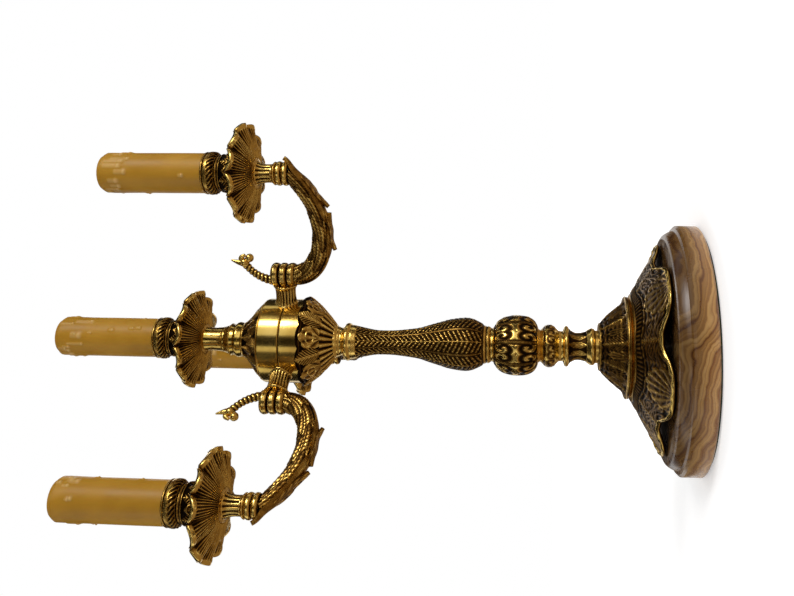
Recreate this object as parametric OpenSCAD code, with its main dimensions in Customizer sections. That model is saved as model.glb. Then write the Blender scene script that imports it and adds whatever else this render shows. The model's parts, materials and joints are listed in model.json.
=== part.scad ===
// Tabletop candelabra lamp: a cast and turned brass stem on a stone plinth, one centre light
// and three scroll arms round a spun hub. Every light is a drip pan, a cup, a candle sleeve and
// a small screw lampholder. Millimetres, +Z up, origin at the middle of the underside.
// The stack is clamped by one threaded tube, so each piece starts where the last one ends.

/* [Plinth] */
// Diameter of the cast foot over its lobes
foot_d = 140; // [120:1:180]
// Width of the stone ledge left free round the foot
base_rim = 12; // [6:0.5:18]
// Thickness of the stone plinth
base_h = 22.5; // [18.5:0.25:30]
// Height of the upright lower edge of the plinth
base_wall_h = 15; // [12:0.5:16]
// Thickness of the felt under the plinth
felt_t = 1.5; // [1:0.1:3]
// Radius of the cord hole through the lead-in bush
cord_hole_r = 3.2; // [2.5:0.1:3.6]

/* [Foot] */
// Height of the spreading lower casting
skirt_h = 23; // [18:0.5:30]
// Height of the bell that stands on it
bell_h = 19.5; // [16:0.5:26]
// Diameter of the rim where the bell meets the skirt
bell_d = 68; // [56:1:80]
// Height of the arches between the lobes
arch_h = 7; // [4:0.5:9]
// Thickness of the cast walls
cast_wall = 3; // [2:0.25:4]

/* [Stem] */
// Height of the turned lower collar with its flange
collar_h = 26.5; // [21:0.5:34]
// Diameter of that flange
flange_d = 27; // [23:0.5:33]
// Height of the bead
bead_h = 12.5; // [10:0.5:16]
// Diameter of the bead
bead_d = 28.7; // [24:0.1:35]
// Height of the ball knop
ball_h = 33; // [27:0.5:41]
// Diameter of the ball knop
ball_d = 40.5; // [33:0.5:50]
// Height of the long baluster
baluster_h = 95.5; // [79:0.5:116]
// Largest diameter of the baluster
baluster_d = 36; // [30:0.5:44]
// Diameter of the baluster's waist
waist_d = 16.6; // [13.6:0.1:20]
// Height of the collar under the hub
top_collar_h = 9.5; // [7.5:0.1:12]
// Diameter of the joints between the stem pieces
joint_d = 21; // [17.5:0.5:25.5]

/* [Hub] */
// Diameter of the polished hub band
hub_d = 57.4; // [47.5:0.1:69]
// Height of each half of the band
hub_half_h = 14.8; // [12.3:0.1:18]
// Height of the leaf cup under the band
hub_cup_h = 21; // [17:0.5:26]
// Height of the leaf cap over the band
hub_cap_h = 17; // [14:0.5:22]
// Height of the turned neck over the cap
neck_h = 27.2; // [22:0.1:34]
// Largest diameter of that neck
neck_d = 24; // [20:0.5:30]

/* [Arms] */
// Distance from the stem's axis to each arm's candle
arm_reach = 119.5; // [99.5:0.5:144]
// Length of the fluted boss between the hub and the arm
boss_len = 11.8; // [9.8:0.1:14.5]
// Radius of the boss and of the three tie rings
tie_r = 8.2; // [7:0.1:10]
// Height of the three tie rings together
tie_h = 15.6; // [13:0.1:19]
// Depth of the scroll below the tie
scroll_drop = 28; // [23:0.5:34]
// Half height of the scroll's section where it leaves the tie
scroll_a = 7.6; // [6:0.1:9]
// Height of the spool under each arm's drip pan
spool_h = 12.8; // [10:0.1:16]

/* [Lights] */
// Diameter of the drip pans over their petals
pan_d = 67.6; // [56:0.1:82]
// Height of the drip pans
pan_h = 9.5; // [7.9:0.1:12]
// Number of petals on a drip pan
petals = 12; // [8:1:16]
// Height of the candle cups
cup_h = 32; // [26.5:0.1:39]
// Diameter of the candle sleeves
sleeve_d = 27; // [25.6:0.2:32]
// Length of the candle sleeves
sleeve_len = 75.5; // [62.5:0.1:91]
// Wall of the candle sleeves
sleeve_wall = 1.4; // [1:0.1:1.8]
// Radius of the lampholder's screw shell (E14)
socket_r = 7.1; // [6.8:0.1:7.4]
// Depth of the lampholder's screw shell
socket_depth = 20; // [17:0.5:24]

/* [Hidden] */
$fn = 96;

// Directions of the arms; light 0 is the centre one
arm_angles = [0, 90, 210, 330];
// Threaded tube that clamps the stack, and the tubes in the arms
rod_r = 5;
rod_bore = 3;
rod_fit = 0.15;
hole_r = rod_r + rod_fit;
// Nuts and washer
nut_r = 9;
nut_h = 6;
washer_r = 14;
washer_t = 2;
// Room under the plinth for them
well_r = 20;
well_h = 9;
// Cord bush in the back of the plinth
bush_wall = 1.2;
bush_len = 16;
bush_head_r = 6.5;
bush_head_t = 1.8;
bush_fit = 0.1;
// Foot
lobes = 6;
bell_top_r = 16;
// Stubs that hold the arms to the hub
stub_r = 4;
stub_bore = 2.2;
stub_nut_r = 7;
stub_nut_h = 4.5;
band_wall = 1.5;
seam = 0.3;
// Leads
lead_r = 1.9;
lead_bore = 2.5;
// Light assembly, measured up from the drip pan's seat
pan_t = 1.8;
pan_hub_t = 2.5;
sleeve_seat = 4.5;
sleeve_fit = 0.3;
holder_wall = 4;
holder_fit = 0.5;
socket_recess = 4;
nipple_rise = 26;

// Radii and heights that follow
base_r = foot_d/2 + base_rim;
base_top = felt_t + base_h;
skirt_top = base_top + skirt_h;
bell_top = skirt_top + bell_h;
collar_top = bell_top + collar_h;
bead_top = collar_top + bead_h;
ball_top = bead_top + ball_h;
baluster_top = ball_top + baluster_h;
cup_floor = baluster_top + top_collar_h;
band_floor = cup_floor + hub_cup_h;
seam_z = band_floor + hub_half_h;
band_top = seam_z + hub_half_h;
cap_top = band_top + hub_cap_h;
centre_seat = cap_top + neck_h;
hub_r = hub_d/2;
joint_r = joint_d/2;
tie_x = hub_r + boss_len + tie_r;
arm_end_h = 8;
arm_end_z = seam_z - 7.8;
arm_seat = arm_end_z + arm_end_h + spool_h;
sleeve_z = pan_hub_t + cup_h - sleeve_seat;
cord_z = felt_t + cord_hole_r + bush_wall + bush_fit + 1.5;
holder_top = sleeve_z + sleeve_len - socket_recess;
holder_r = sleeve_d/2 - sleeve_wall - holder_fit;
holder_floor = holder_top - socket_depth - holder_wall;

// Cubic curve through four control points, and its direction
function curve(p, t) =
    pow(1 - t, 3)*p[0] + 3*t*pow(1 - t, 2)*p[1] + 3*t*t*(1 - t)*p[2] + pow(t, 3)*p[3];
function heading(p, t) = let (
    d = pow(1 - t, 2)*(p[1] - p[0]) + 2*t*(1 - t)*(p[2] - p[1]) + t*t*(p[3] - p[2])
) d/norm(d);
// Smooth line through points, with n steps to a span
function spline_at(p, i, t) = let (
    a = p[max(i - 1, 0)], b = p[i], c = p[i + 1], d = p[min(i + 2, len(p) - 1)]
) 0.5*(2*b + (c - a)*t + (2*a - 5*b + 4*c - d)*t*t + (3*b - a - 3*c + d)*t*t*t);
function smooth(p, n = 4) = concat(
    [for (i = [0:len(p) - 2], j = [0:n - 1]) spline_at(p, i, j/n)], [p[len(p) - 1]]
);
// A row's value at t from 0 to 1, read evenly along it
function along(row, t) = let (
    s = t*(len(row) - 1), i = min(floor(s), len(row) - 2)
) row[i]*(1 - s + i) + row[i + 1]*(s - i);

// A ring of points round the line at one place: a is the half height in the plane, b across it
function section(p, d, a, b, sides) = [
    for (k = [0:sides - 1]) let (q = 360*k/sides)
        [p[0] - d[1]*a*cos(q), b*sin(q), p[1] + d[0]*a*cos(q)]
];
// A tube through rings of points, each with the same number of sides
module skin(rings) {
    n = len(rings[0]);
    m = len(rings);
    points = [for (r = rings, p = r) p];
    side = [for (i = [0:m - 2], k = [0:n - 1])
        [i*n + k, i*n + (k + 1) % n, (i + 1)*n + (k + 1) % n, (i + 1)*n + k]];
    first = [for (k = [n - 1:-1:0]) k];
    last = [for (k = [0:n - 1]) (m - 1)*n + k];
    polyhedron(points, concat(side, [first, last]), convexity = 8);
}

// A turned piece with a hole for the threaded tube; the outline is [radius, height] pairs
module turned(outline, hole = hole_r) {
    bottom = outline[0][1];
    top = outline[len(outline) - 1][1];
    rotate_extrude() polygon(concat([[hole, bottom]], outline, [[hole, top]]));
}
module at_arm(i) rotate([0, 0, arm_angles[i]]) children();
module hex(r, h) cylinder(r = r, h = h, $fn = 6);
module threaded_tube(length) difference() {
    cylinder(r = rod_r, h = length);
    translate([0, 0, -1]) cylinder(r = rod_bore, h = length + 2);
}

module felt_pad() color("darkgreen") difference() {
    cylinder(r = base_r - 4, h = felt_t);
    translate([0, 0, -1]) cylinder(r = well_r, h = felt_t + 2);
}

module marble_base() color("burlywood") difference() {
    wall_top = felt_t + base_wall_h;
    rise = base_top - wall_top;
    rotate_extrude() polygon(concat(
        [[0, felt_t], [base_r - 1, felt_t], [base_r, felt_t + 1]],
        [[base_r, wall_top - 1.5], [base_r - 1.5, wall_top]],
        smooth([[base_r - 3.5, wall_top + rise*0.12], [base_r - 4.5, wall_top + rise*0.45],
                [base_r - 6.5, wall_top + rise*0.84], [base_r - 9, base_top]], 4),
        [[0, base_top]]
    ));
    translate([0, 0, felt_t - 1]) cylinder(r = well_r, h = well_h + 1);
    cylinder(r = hole_r, h = base_top + 1);
    translate([0, 0, cord_z]) rotate([-90, 0, 0]) {
        cylinder(r = cord_hole_r + bush_wall + bush_fit, h = base_r + 1);
        translate([0, 0, base_r - bush_head_t]) cylinder(r = bush_head_r + bush_fit, h = bush_head_t + 1);
    }
}

module base_washer() color("silver") translate([0, 0, felt_t + well_h - washer_t]) difference() {
    cylinder(r = washer_r, h = washer_t);
    translate([0, 0, -1]) cylinder(r = hole_r, h = washer_t + 2);
}

module base_nut() color("silver") translate([0, 0, felt_t + well_h - washer_t - nut_h]) difference() {
    hex(nut_r, nut_h);
    translate([0, 0, -1]) cylinder(r = hole_r, h = nut_h + 2);
}

module cord_bush() color("black") translate([0, 0, cord_z]) rotate([-90, 0, 0]) difference() {
    union() {
        translate([0, 0, base_r - bush_len]) cylinder(r = cord_hole_r + bush_wall, h = bush_len);
        translate([0, 0, base_r - bush_head_t]) cylinder(r = bush_head_r, h = bush_head_t);
    }
    translate([0, 0, base_r - bush_len - 1]) cylinder(r = cord_hole_r, h = bush_len + 2);
}

module centre_rod() color("silver") {
    foot = felt_t + 1;
    translate([0, 0, foot]) threaded_tube(centre_seat + nipple_rise - foot);
}

// The skirt's outside from the rim on the stone up to the bell
function skirt_line() = let (r = foot_d/2, s = bell_d/2 - 1.5) [
    [r - 1.2, base_top], [r, base_top + 1.6], [s + (r - s)*0.8, base_top + skirt_h*0.2],
    [s + (r - s)*0.59, base_top + skirt_h*0.42], [s + (r - s)*0.36, base_top + skirt_h*0.68],
    [s + 4, base_top + skirt_h*0.86], [s, skirt_top]
];
module foot_skirt() color("goldenrod") difference() {
    rotate_extrude() polygon(concat(
        smooth(skirt_line(), 3),
        [[bell_d/2 - 1.5 - cast_wall, skirt_top]],
        [for (p = [5:-1:2]) skirt_line()[p] - [cast_wall + 1, cast_wall*0.6]],
        [[foot_d/2 - 2 - cast_wall, base_top]]
    ));
    span = foot_d*sin(180/lobes) - 24;
    arch_r = (span*span/4 + arch_h*arch_h)/(2*arch_h);
    for (k = [0:lobes - 1]) rotate([0, 0, 360*(k + 0.5)/lobes]) {
        // arch between two lobes
        translate([bell_d/2 + 4, 0, base_top + arch_h - arch_r]) rotate([0, 90, 0])
            cylinder(r = arch_r, h = foot_d/2, $fn = 160);
        // waist of the outline between two lobes
        translate([foot_d*1.3, 0, base_top - 1]) cylinder(r = foot_d*0.86, h = skirt_h + 2, $fn = 200);
    }
}

module foot_bell() color("goldenrod") {
    rotate_extrude() polygon(concat(
        [[bell_d/2 - 1, skirt_top], [bell_d/2, skirt_top + 0.8], [bell_d/2, skirt_top + 2]],
        smooth([[bell_d/2 - 1.5, skirt_top + 2.6], [bell_d/2 - 6, skirt_top + bell_h*0.36],
                [bell_top_r + 4.5, skirt_top + bell_h*0.72], [bell_top_r, bell_top - 1.2]], 4),
        [[bell_top_r - 0.6, bell_top], [hole_r, bell_top], [hole_r, bell_top - 3],
         [bell_top_r - 5, bell_top - 3.5], [bell_top_r, skirt_top + bell_h*0.62],
         [bell_d/2 - 10, skirt_top + bell_h*0.3], [bell_d/2 - 4.5, skirt_top]]
    ));
}

module lower_collar() color("gold") {
    z = bell_top;
    h = collar_h;
    turned(concat(
        [[joint_r + 0.4, z], [joint_r + 0.4, z + h*0.08]],
        smooth([[joint_r + 1.3, z + h*0.11], [joint_r + 1.9, z + h*0.18], [joint_r + 1.1, z + h*0.25],
                [joint_r - 0.2, z + h*0.35], [joint_r - 1.2, z + h*0.53], [joint_r + 0.4, z + h*0.7]], 3),
        [[flange_d/2 - 0.8, z + h*0.76], [flange_d/2, z + h*0.79], [flange_d/2, z + h*0.83],
         [flange_d/2 - 0.8, z + h*0.86], [joint_r - 0.3, z + h*0.92], [joint_r - 0.3, z + h]]
    ));
}

module stem_bead() color("gold") {
    z = collar_top;
    h = bead_h;
    turned(concat([[joint_r - 0.3, z]],
        smooth([[joint_r + 0.6, z + h*0.08], [bead_d/2 - 0.9, z + h*0.28], [bead_d/2, z + h*0.5],
                [bead_d/2 - 0.9, z + h*0.72], [joint_r + 0.6, z + h*0.92]], 4),
        [[joint_r, z + h]]));
}

module stem_ball() color("goldenrod") {
    z = bead_top;
    h = ball_h;
    r = ball_d/2;
    turned(smooth([[joint_r, z], [r*0.72, z + h*0.07], [r*0.88, z + h*0.15], [r*0.975, z + h*0.28],
                   [r, z + h*0.45], [r*0.985, z + h*0.61], [r*0.91, z + h*0.77],
                   [r*0.795, z + h*0.87], [r*0.64, z + h*0.95], [joint_r + 0.7, z + h]], 4));
}

module baluster() color("goldenrod") {
    z = ball_top;
    h = baluster_h;
    r = baluster_d/2;
    w = waist_d/2;
    turned(smooth([[joint_r + 0.7, z], [joint_r + 1.9, z + h*0.05], [r*0.86, z + h*0.09],
                   [r*0.98, z + h*0.14], [r, z + h*0.2], [w + (r - w)*0.86, z + h*0.3],
                   [w + (r - w)*0.67, z + h*0.37], [w + (r - w)*0.46, z + h*0.443],
                   [w + (r - w)*0.25, z + h*0.515], [w + (r - w)*0.14, z + h*0.588],
                   [w, z + h*0.74], [w, z + h*0.82],
                   [w + 1.3, z + h*0.91], [joint_r + 0.4, z + h*0.97], [joint_r + 1.1, z + h]], 3));
}

module top_collar() color("gold") {
    z = baluster_top;
    h = top_collar_h;
    turned(concat(
        [[joint_r + 1.1, z], [joint_r + 2.4, z + h*0.3], [joint_r + 2.4, z + h*0.48],
         [joint_r + 0.8, z + h*0.58]],
        smooth([[joint_r - 0.2, z + h*0.66], [joint_r - 0.9, z + h*0.84], [joint_r - 0.5, z + h]], 3)));
}

// Leaf cup under the hub: an open casting whose lip stands round the band
module hub_cup() color("goldenrod") {
    z = cup_floor;
    h = hub_cup_h;
    lip = hub_r + 2.4;
    difference() {
        rotate_extrude() polygon(concat(
            [[hole_r, z], [joint_r - 0.5, z]],
            smooth([[joint_r, z + h*0.07], [hub_r*0.595, z + h*0.34], [hub_r*0.855, z + h*0.68],
                    [hub_r*1.01, z + h*0.95], [lip, z + h + 2.6]], 4),
            [[hub_r + 0.3, z + h + 2.6], [hub_r + 0.3, z + h], [hub_r - 3, z + h],
             [hub_r*0.5, z + h*0.42], [hole_r + 4, z + 4], [hole_r, z + 4]]
        ));
        // the lip is cut into leaf tips
        for (k = [0:11]) rotate([0, 0, 30*k + 15]) translate([hub_r - 2, 0, z + h + 3.4])
            rotate([0, 90, 0]) cylinder(r = 2.6, h = 8, $fn = 32);
    }
}

module stub_holes() for (i = [1:3]) at_arm(i)
    translate([hub_r - 6, 0, seam_z]) rotate([0, 90, 0]) cylinder(r = stub_r + rod_fit, h = 12);

module hub_band_lower() color("gold") difference() {
    turned([[hub_r, band_floor], [hub_r, seam_z - seam/2]]);
    translate([0, 0, band_floor + band_wall]) cylinder(r = hub_r - band_wall, h = hub_half_h);
    stub_holes();
}

module hub_band_upper() color("gold") difference() {
    turned([[hub_r, seam_z + seam/2], [hub_r, band_top]]);
    translate([0, 0, seam_z - 1]) cylinder(r = hub_r - band_wall, h = hub_half_h + 1 - band_wall);
    stub_holes();
}

module hub_cap() color("goldenrod") {
    z = band_top;
    h = hub_cap_h;
    rotate_extrude() polygon(concat(
        [[hub_r - 4, z], [hub_r - 0.6, z], [hub_r - 0.4, z + 1.2]],
        smooth([[hub_r - 2.2, z + h*0.16], [hub_r*0.73, z + h*0.44], [hub_r*0.5, z + h*0.79],
                [joint_r + 1, z + h]], 4),
        [[hole_r, z + h], [hole_r, z + h - 4], [joint_r - 1.5, z + h - 4.5], [hub_r*0.42, z + h*0.5]]
    ));
}

module hub_nut() color("silver") translate([0, 0, band_floor + band_wall]) difference() {
    hex(nut_r, nut_h);
    translate([0, 0, -1]) cylinder(r = hole_r, h = nut_h + 2);
}

// Screw connector block, fixed to the hub's floor between two arms
module terminal_block() color("white") translate([-8, -(nut_r + 11), band_floor + band_wall]) difference() {
    cube([16, 9, 7.5]);
    for (x = [3, 8, 13]) translate([x, -1, 3.5]) rotate([-90, 0, 0]) cylinder(r = 1.3, h = 11, $fn = 24);
}

module top_neck() color("gold") {
    z = cap_top;
    h = neck_h;
    r = neck_d/2;
    turned(concat(
        [[joint_r + 0.9, z]],
        smooth([[r - 0.4, z + h*0.06], [r, z + h*0.13], [r - 0.5, z + h*0.19]], 3),
        [[r - 1.4, z + h*0.22], [r - 1.4, z + h*0.3], [r - 1, z + h*0.33], [r - 1.8, z + h*0.37]],
        smooth([[r - 2.4, z + h*0.43], [r - 3.5, z + h*0.56], [r - 4.1, z + h*0.82], [r - 3.7, z + h]], 3)
    ));
}

// The nut's corners stop just short of the band's round inside
nut_face = sqrt(pow(hub_r - band_wall, 2) - pow(stub_nut_r, 2)) - 0.05;
module stub_nut(i) at_arm(i) translate([nut_face - stub_nut_h, 0, seam_z]) rotate([0, 90, 0])
    difference() {
        hex(stub_nut_r, stub_nut_h);
        translate([0, 0, -1]) cylinder(r = stub_r + rod_fit, h = stub_nut_h + 2);
    }
module arm_nuts() color("silver") for (i = [1:3]) stub_nut(i);

// Threaded stub from the hub nut through the boss into the tie
module arm_stub(i) color("silver") at_arm(i) translate([hub_r - 9, 0, seam_z]) rotate([0, 90, 0])
    difference() {
        cylinder(r = stub_r, h = tie_x - 3.5 - hub_r + 9);
        translate([0, 0, -1]) cylinder(r = stub_bore, h = tie_x - hub_r + 12);
    }

// Fluted boss; its inner end follows the round of the band
module arm_boss(i) color("gold") at_arm(i) difference() {
    translate([hub_r - 3, 0, seam_z]) rotate([0, 90, 0]) union() {
        cylinder(r = tie_r - 1, h = boss_len + 3);
        for (k = [0:11]) rotate([0, 0, 30*k]) translate([tie_r - 1.2, 0, 0])
            cylinder(r = 1.1, h = boss_len + 3, $fn = 24);
    }
    translate([0, 0, seam_z - tie_r - 2]) cylinder(r = hub_r + 0.1, h = 2*tie_r + 4);
    translate([hub_r - 4, 0, seam_z]) rotate([0, 90, 0]) cylinder(r = stub_r + rod_fit, h = boss_len + 8);
    translate([tie_x, 0, seam_z - tie_r - 3]) cylinder(r = tie_r + 0.1, h = 2*tie_r + 6);
}

// The scroll runs down from the tie, out and up to the light; the tail curls up from the tie
scroll = [[tie_x, seam_z - tie_h/2], [tie_x, seam_z - tie_h/2 - scroll_drop*0.76],
          [tie_x + (arm_reach - tie_x)*0.6, seam_z - tie_h/2 - scroll_drop*1.11],
          [arm_reach, arm_end_z + 1]];
tail = [[tie_x - 4.4, seam_z + tie_h/2 - 2], [tie_x - 3.8, seam_z + tie_h/2 + 8],
        [tie_x + 1, seam_z + tie_h/2 + 15], [tie_x + 8.2, seam_z + tie_h/2 + 19.4]];
scroll_height = [scroll_a, scroll_a, 7.2, 7, 6.4, 5.8, 5.4];
scroll_width = [6.2, 6, 5.6, 5.4, 5.3, 5.2, 5.2];
scroll_steps = 28;
tail_steps = 10;
head_at = tail[3] + [3.4, -3.6];

module scroll_solid() skin([for (j = [0:scroll_steps]) let (t = j/scroll_steps)
    section(curve(scroll, t), heading(scroll, t), along(scroll_height, t), along(scroll_width, t), 16)]);
module lead_way(r, sides, from = 0) skin([for (j = [from:scroll_steps]) let (t = j/scroll_steps)
    section(curve(scroll, t), heading(scroll, t), r, r, sides)]);
module tail_solid() {
    skin([for (j = [0:tail_steps]) let (t = j/tail_steps)
        section(curve(tail, t), heading(tail, t), along([3.4, 3, 2.6, 2.4], t),
                along([3.2, 2.8, 2.5, 2.3], t), 10)]);
    translate([tail[3][0], 0, tail[3][1]]) sphere(r = 3, $fn = 20);
    translate([head_at[0], 0, head_at[1]]) sphere(r = 3.2, $fn = 20);
    translate([tail[3][0] + 1, 0, tail[3][1] + 1]) rotate([0, 12, 0])
        cylinder(r1 = 2.6, r2 = 0.8, h = 9, $fn = 16);
}
// A leaf tip standing off the scroll at t; side -1 is its outer curve, 1 its inner one
module spur(t, side, lean, length) {
    p = curve(scroll, t);
    d = heading(scroll, t);
    translate([p[0], 0, p[1]]) rotate([0, 90 - atan2(d[1], d[0]) - side*lean, 0])
        cylinder(r1 = 4.6, r2 = 0.9, h = length, $fn = 16);
}
module tie_rings() for (k = [-1:1]) translate([tie_x, 0, seam_z + k*tie_h/3])
    rotate_extrude($fn = 40) polygon([
        [0, -tie_h/6 - 0.1], [tie_r - 1, -tie_h/6 - 0.1], [tie_r - 0.2, -tie_h/8], [tie_r, 0],
        [tie_r - 0.2, tie_h/8], [tie_r - 1, tie_h/6 + 0.1], [0, tie_h/6 + 0.1]]);

module arm(i) color("goldenrod") at_arm(i) difference() {
    union() {
        scroll_solid();
        tail_solid();
        tie_rings();
        translate([arm_reach, 0, arm_end_z]) cylinder(r = tie_r, h = arm_end_h, $fn = 40);
        // leaf spurs: past the end ring, under the scroll and on its inner curve
        spur(1, -1, 45, 12);
        spur(0.72, -1, 25, 11);
        spur(0.8, 1, 25, 9);
        spur(0.5, 1, 35, 9);
    }
    // way for the lead, from the stub down the scroll and up to the light
    lead_way(lead_bore, 8);
    translate([tie_x, 0, seam_z - tie_h/2 - 1]) cylinder(r = lead_bore, h = tie_h/2 + 1, $fn = 16);
    translate([tie_x, 0, seam_z]) sphere(r = 4.6, $fn = 20);
    translate([hub_r, 0, seam_z]) rotate([0, 90, 0]) cylinder(r = stub_r + rod_fit, h = boss_len + tie_r);
    translate([arm_reach, 0, arm_end_z + 1]) {
        cylinder(r = hole_r, h = arm_end_h, $fn = 48);
        sphere(r = lead_bore + 0.2, $fn = 20);
    }
}

module arm_spool(i) color("gold") at_arm(i) translate([arm_reach, 0, 0]) {
    z = arm_end_z + arm_end_h;
    turned([[7.8, z], [7.8, z + 1.2], [6.7, z + 2.4], [6.4, z + spool_h*0.6],
            [6.9, z + spool_h*0.82], [8.2, z + spool_h]]);
}

module arm_nipple(i) color("silver") at_arm(i) translate([arm_reach, 0, arm_end_z + 1.4])
    threaded_tube(arm_seat + nipple_rise - arm_end_z - 1.4);

// Insulated lead inside an arm, from the hub to the lampholder's tube
module arm_lead(i) color("ivory") at_arm(i) {
    start = hub_r - 7;
    bend = [[tie_x - 5, seam_z], [tie_x - 1, seam_z], [tie_x, seam_z - 1], [tie_x, seam_z - 5]];
    lift = arm_end_z + 1;
    straight_in = [for (x = [start, tie_x - 5]) section([x, seam_z], [1, 0], lead_r, lead_r, 8)];
    corner = [for (t = [0.2:0.2:1]) section(curve(bend, t), heading(bend, t), lead_r, lead_r, 8)];
    run = [for (j = [0:scroll_steps]) let (t = j/scroll_steps)
        section(curve(scroll, t), heading(scroll, t), lead_r, lead_r, 8)];
    riser = [for (z = [lift + 3, arm_seat + nipple_rise]) section([arm_reach, z], [0, 1], lead_r, lead_r, 8)];
    skin(concat(straight_in, corner, run, riser));
}

module at_light(i) if (i == 0) translate([0, 0, centre_seat]) children();
    else at_arm(i) translate([arm_reach, 0, arm_seat]) children();

// Petalled drip pan: a shallow dish whose rim is a ring of round petals
module drip_pan(i) color("goldenrod") at_light(i) {
    r = pan_d/2;
    petal_r = r*sin(180/petals)*1.08;
    under = [[8.2, 0], [r*0.36, 0.9], [r*0.6, pan_h*0.3], [r*0.8, pan_h*0.58],
             [r*0.93, pan_h*0.78], [r, pan_h*0.88]];
    intersection() {
        rotate_extrude() polygon(concat(
            [[hole_r, 0]], smooth(under, 3),
            [[r, pan_h], [r*0.97, pan_h + 0.3]],
            [for (k = [4:-1:1]) under[k] + [-0.5, pan_t]],
            [[9, pan_hub_t], [hole_r, pan_hub_t]]
        ));
        linear_extrude(height = pan_h*2, center = true) union() {
            circle(r = r - petal_r);
            for (k = [0:petals - 1]) rotate(360*k/petals)
                translate([r - petal_r, 0]) circle(r = petal_r, $fn = 48);
        }
    }
}

module candle_cup(i) color("darkgoldenrod") at_light(i) {
    z = pan_hub_t;
    h = cup_h;
    r = sleeve_d/2;
    inner = r + sleeve_fit;
    difference() {
        rotate_extrude() polygon(concat(
            [[0, z], [8.6, z], [8.6, z + h*0.05]],
            smooth([[8, z + h*0.1], [9.6, z + h*0.24], [r - 1.6, z + h*0.38], [r - 0.2, z + h*0.52],
                    [r - 0.7, z + h*0.63], [r - 1.7, z + h*0.7]], 4),
            [[r - 1.2, z + h*0.74], [r + 0.6, z + h*0.79], [r + 0.9, z + h*0.92],
             [r + 0.6, z + h], [0, z + h]]
        ));
        translate([0, 0, z + h - sleeve_seat]) cylinder(r = inner, h = sleeve_seat + 1);
        translate([0, 0, z + h*0.45]) cylinder(r = r - 3.4, h = h);
        translate([0, 0, z - 1]) cylinder(r = hole_r, h = h);
    }
}

// Support tube between the nipple and the lampholder
module socket_stem(i) color("silver") at_light(i) difference() {
    foot = pan_hub_t + cup_h*0.45;
    translate([0, 0, foot]) cylinder(r = rod_r + 1.6, h = holder_floor - foot);
    translate([0, 0, foot - 1]) cylinder(r = hole_r, h = nipple_rise - foot + 2);
    translate([0, 0, foot - 1]) cylinder(r = rod_bore, h = holder_floor);
}

module lampholder(i) color("white") at_light(i) difference() {
    translate([0, 0, holder_floor]) cylinder(r = holder_r, h = holder_top - holder_floor);
    translate([0, 0, holder_top - socket_depth]) cylinder(r = socket_r, h = socket_depth + 1);
    for (s = [-1, 1]) translate([s*3.5, 0, holder_floor - 1]) cylinder(r = 1, h = holder_wall + 2, $fn = 24);
}

module candle_sleeve(i) color("khaki") at_light(i) translate([0, 0, sleeve_z]) difference() {
    r = sleeve_d/2;
    rotate_extrude() polygon(concat(
        [[r - sleeve_wall, 0], [r, 0], [r, sleeve_len - 4]],
        smooth([[r - 0.3, sleeve_len - 2], [r - 1.1, sleeve_len - 0.6], [r - 2.2, sleeve_len]], 3),
        [[r - 3, sleeve_len - 1], [r - 3, sleeve_len - 2.4], [r - sleeve_wall, sleeve_len - 3]]
    ));
}

felt_pad();
marble_base();
base_washer();
base_nut();
cord_bush();
centre_rod();
foot_skirt();
foot_bell();
lower_collar();
stem_bead();
stem_ball();
baluster();
top_collar();
hub_cup();
hub_band_lower();
hub_band_upper();
hub_cap();
hub_nut();
terminal_block();
top_neck();
arm_nuts();
for (i = [1:3]) {
    arm(i);
    arm_boss(i);
    arm_stub(i);
    arm_spool(i);
    arm_nipple(i);
    arm_lead(i);
}
for (i = [0:3]) {
    drip_pan(i);
    candle_cup(i);
    socket_stem(i);
    lampholder(i);
    candle_sleeve(i);
}
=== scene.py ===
import json
import math

import bpy
import numpy as np
from mathutils import Matrix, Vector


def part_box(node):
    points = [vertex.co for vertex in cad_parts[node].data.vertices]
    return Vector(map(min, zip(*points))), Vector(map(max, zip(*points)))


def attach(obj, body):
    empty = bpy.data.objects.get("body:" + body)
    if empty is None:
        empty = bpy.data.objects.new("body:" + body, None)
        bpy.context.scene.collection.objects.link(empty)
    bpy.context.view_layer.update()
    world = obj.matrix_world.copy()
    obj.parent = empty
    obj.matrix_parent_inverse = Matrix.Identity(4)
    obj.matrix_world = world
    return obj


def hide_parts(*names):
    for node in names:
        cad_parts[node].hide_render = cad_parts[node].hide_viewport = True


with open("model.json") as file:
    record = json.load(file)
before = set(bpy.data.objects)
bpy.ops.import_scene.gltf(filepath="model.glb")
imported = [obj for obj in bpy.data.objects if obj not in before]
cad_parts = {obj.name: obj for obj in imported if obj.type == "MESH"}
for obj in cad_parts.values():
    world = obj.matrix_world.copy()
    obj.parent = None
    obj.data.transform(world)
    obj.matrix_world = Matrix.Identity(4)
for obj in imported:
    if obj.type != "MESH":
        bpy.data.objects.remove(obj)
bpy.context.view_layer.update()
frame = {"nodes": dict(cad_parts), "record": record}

MM = 0.001
TAU = 2 * math.pi
ARM_ANGLES = (0, 90, 210, 330)
SLEEVE_BODIES = ("sleeve_centre", "sleeve_back", "sleeve_left", "sleeve_right")
rng = np.random.default_rng(7)


def box_mm(node):
    """Lowest and highest corner of a CAD node in millimetres."""
    low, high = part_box(node)
    return np.array(low) / MM, np.array(high) / MM


def span_z(node):
    low, high = box_mm(node)
    return low[2], high[2] - low[2]


# ---------------------------------------------------------------- relief patterns
# Each takes u, the angle round the piece, and v from 0 to 1 up its outline,
# and gives a height from 0, deep in the cast ground, to 1, on the polished tops.

def ease(low, high, x):
    t = np.clip((x - low) / (high - low), 0, 1)
    return t * t * (3 - 2 * t)


def cell(u, count, shift=0.0):
    """Position across one of count repeats, from -1 to 1."""
    return ((u / TAU * count + shift) % 1) * 2 - 1


def wave(x):
    return 0.5 + 0.5 * np.cos(TAU * x)


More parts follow.
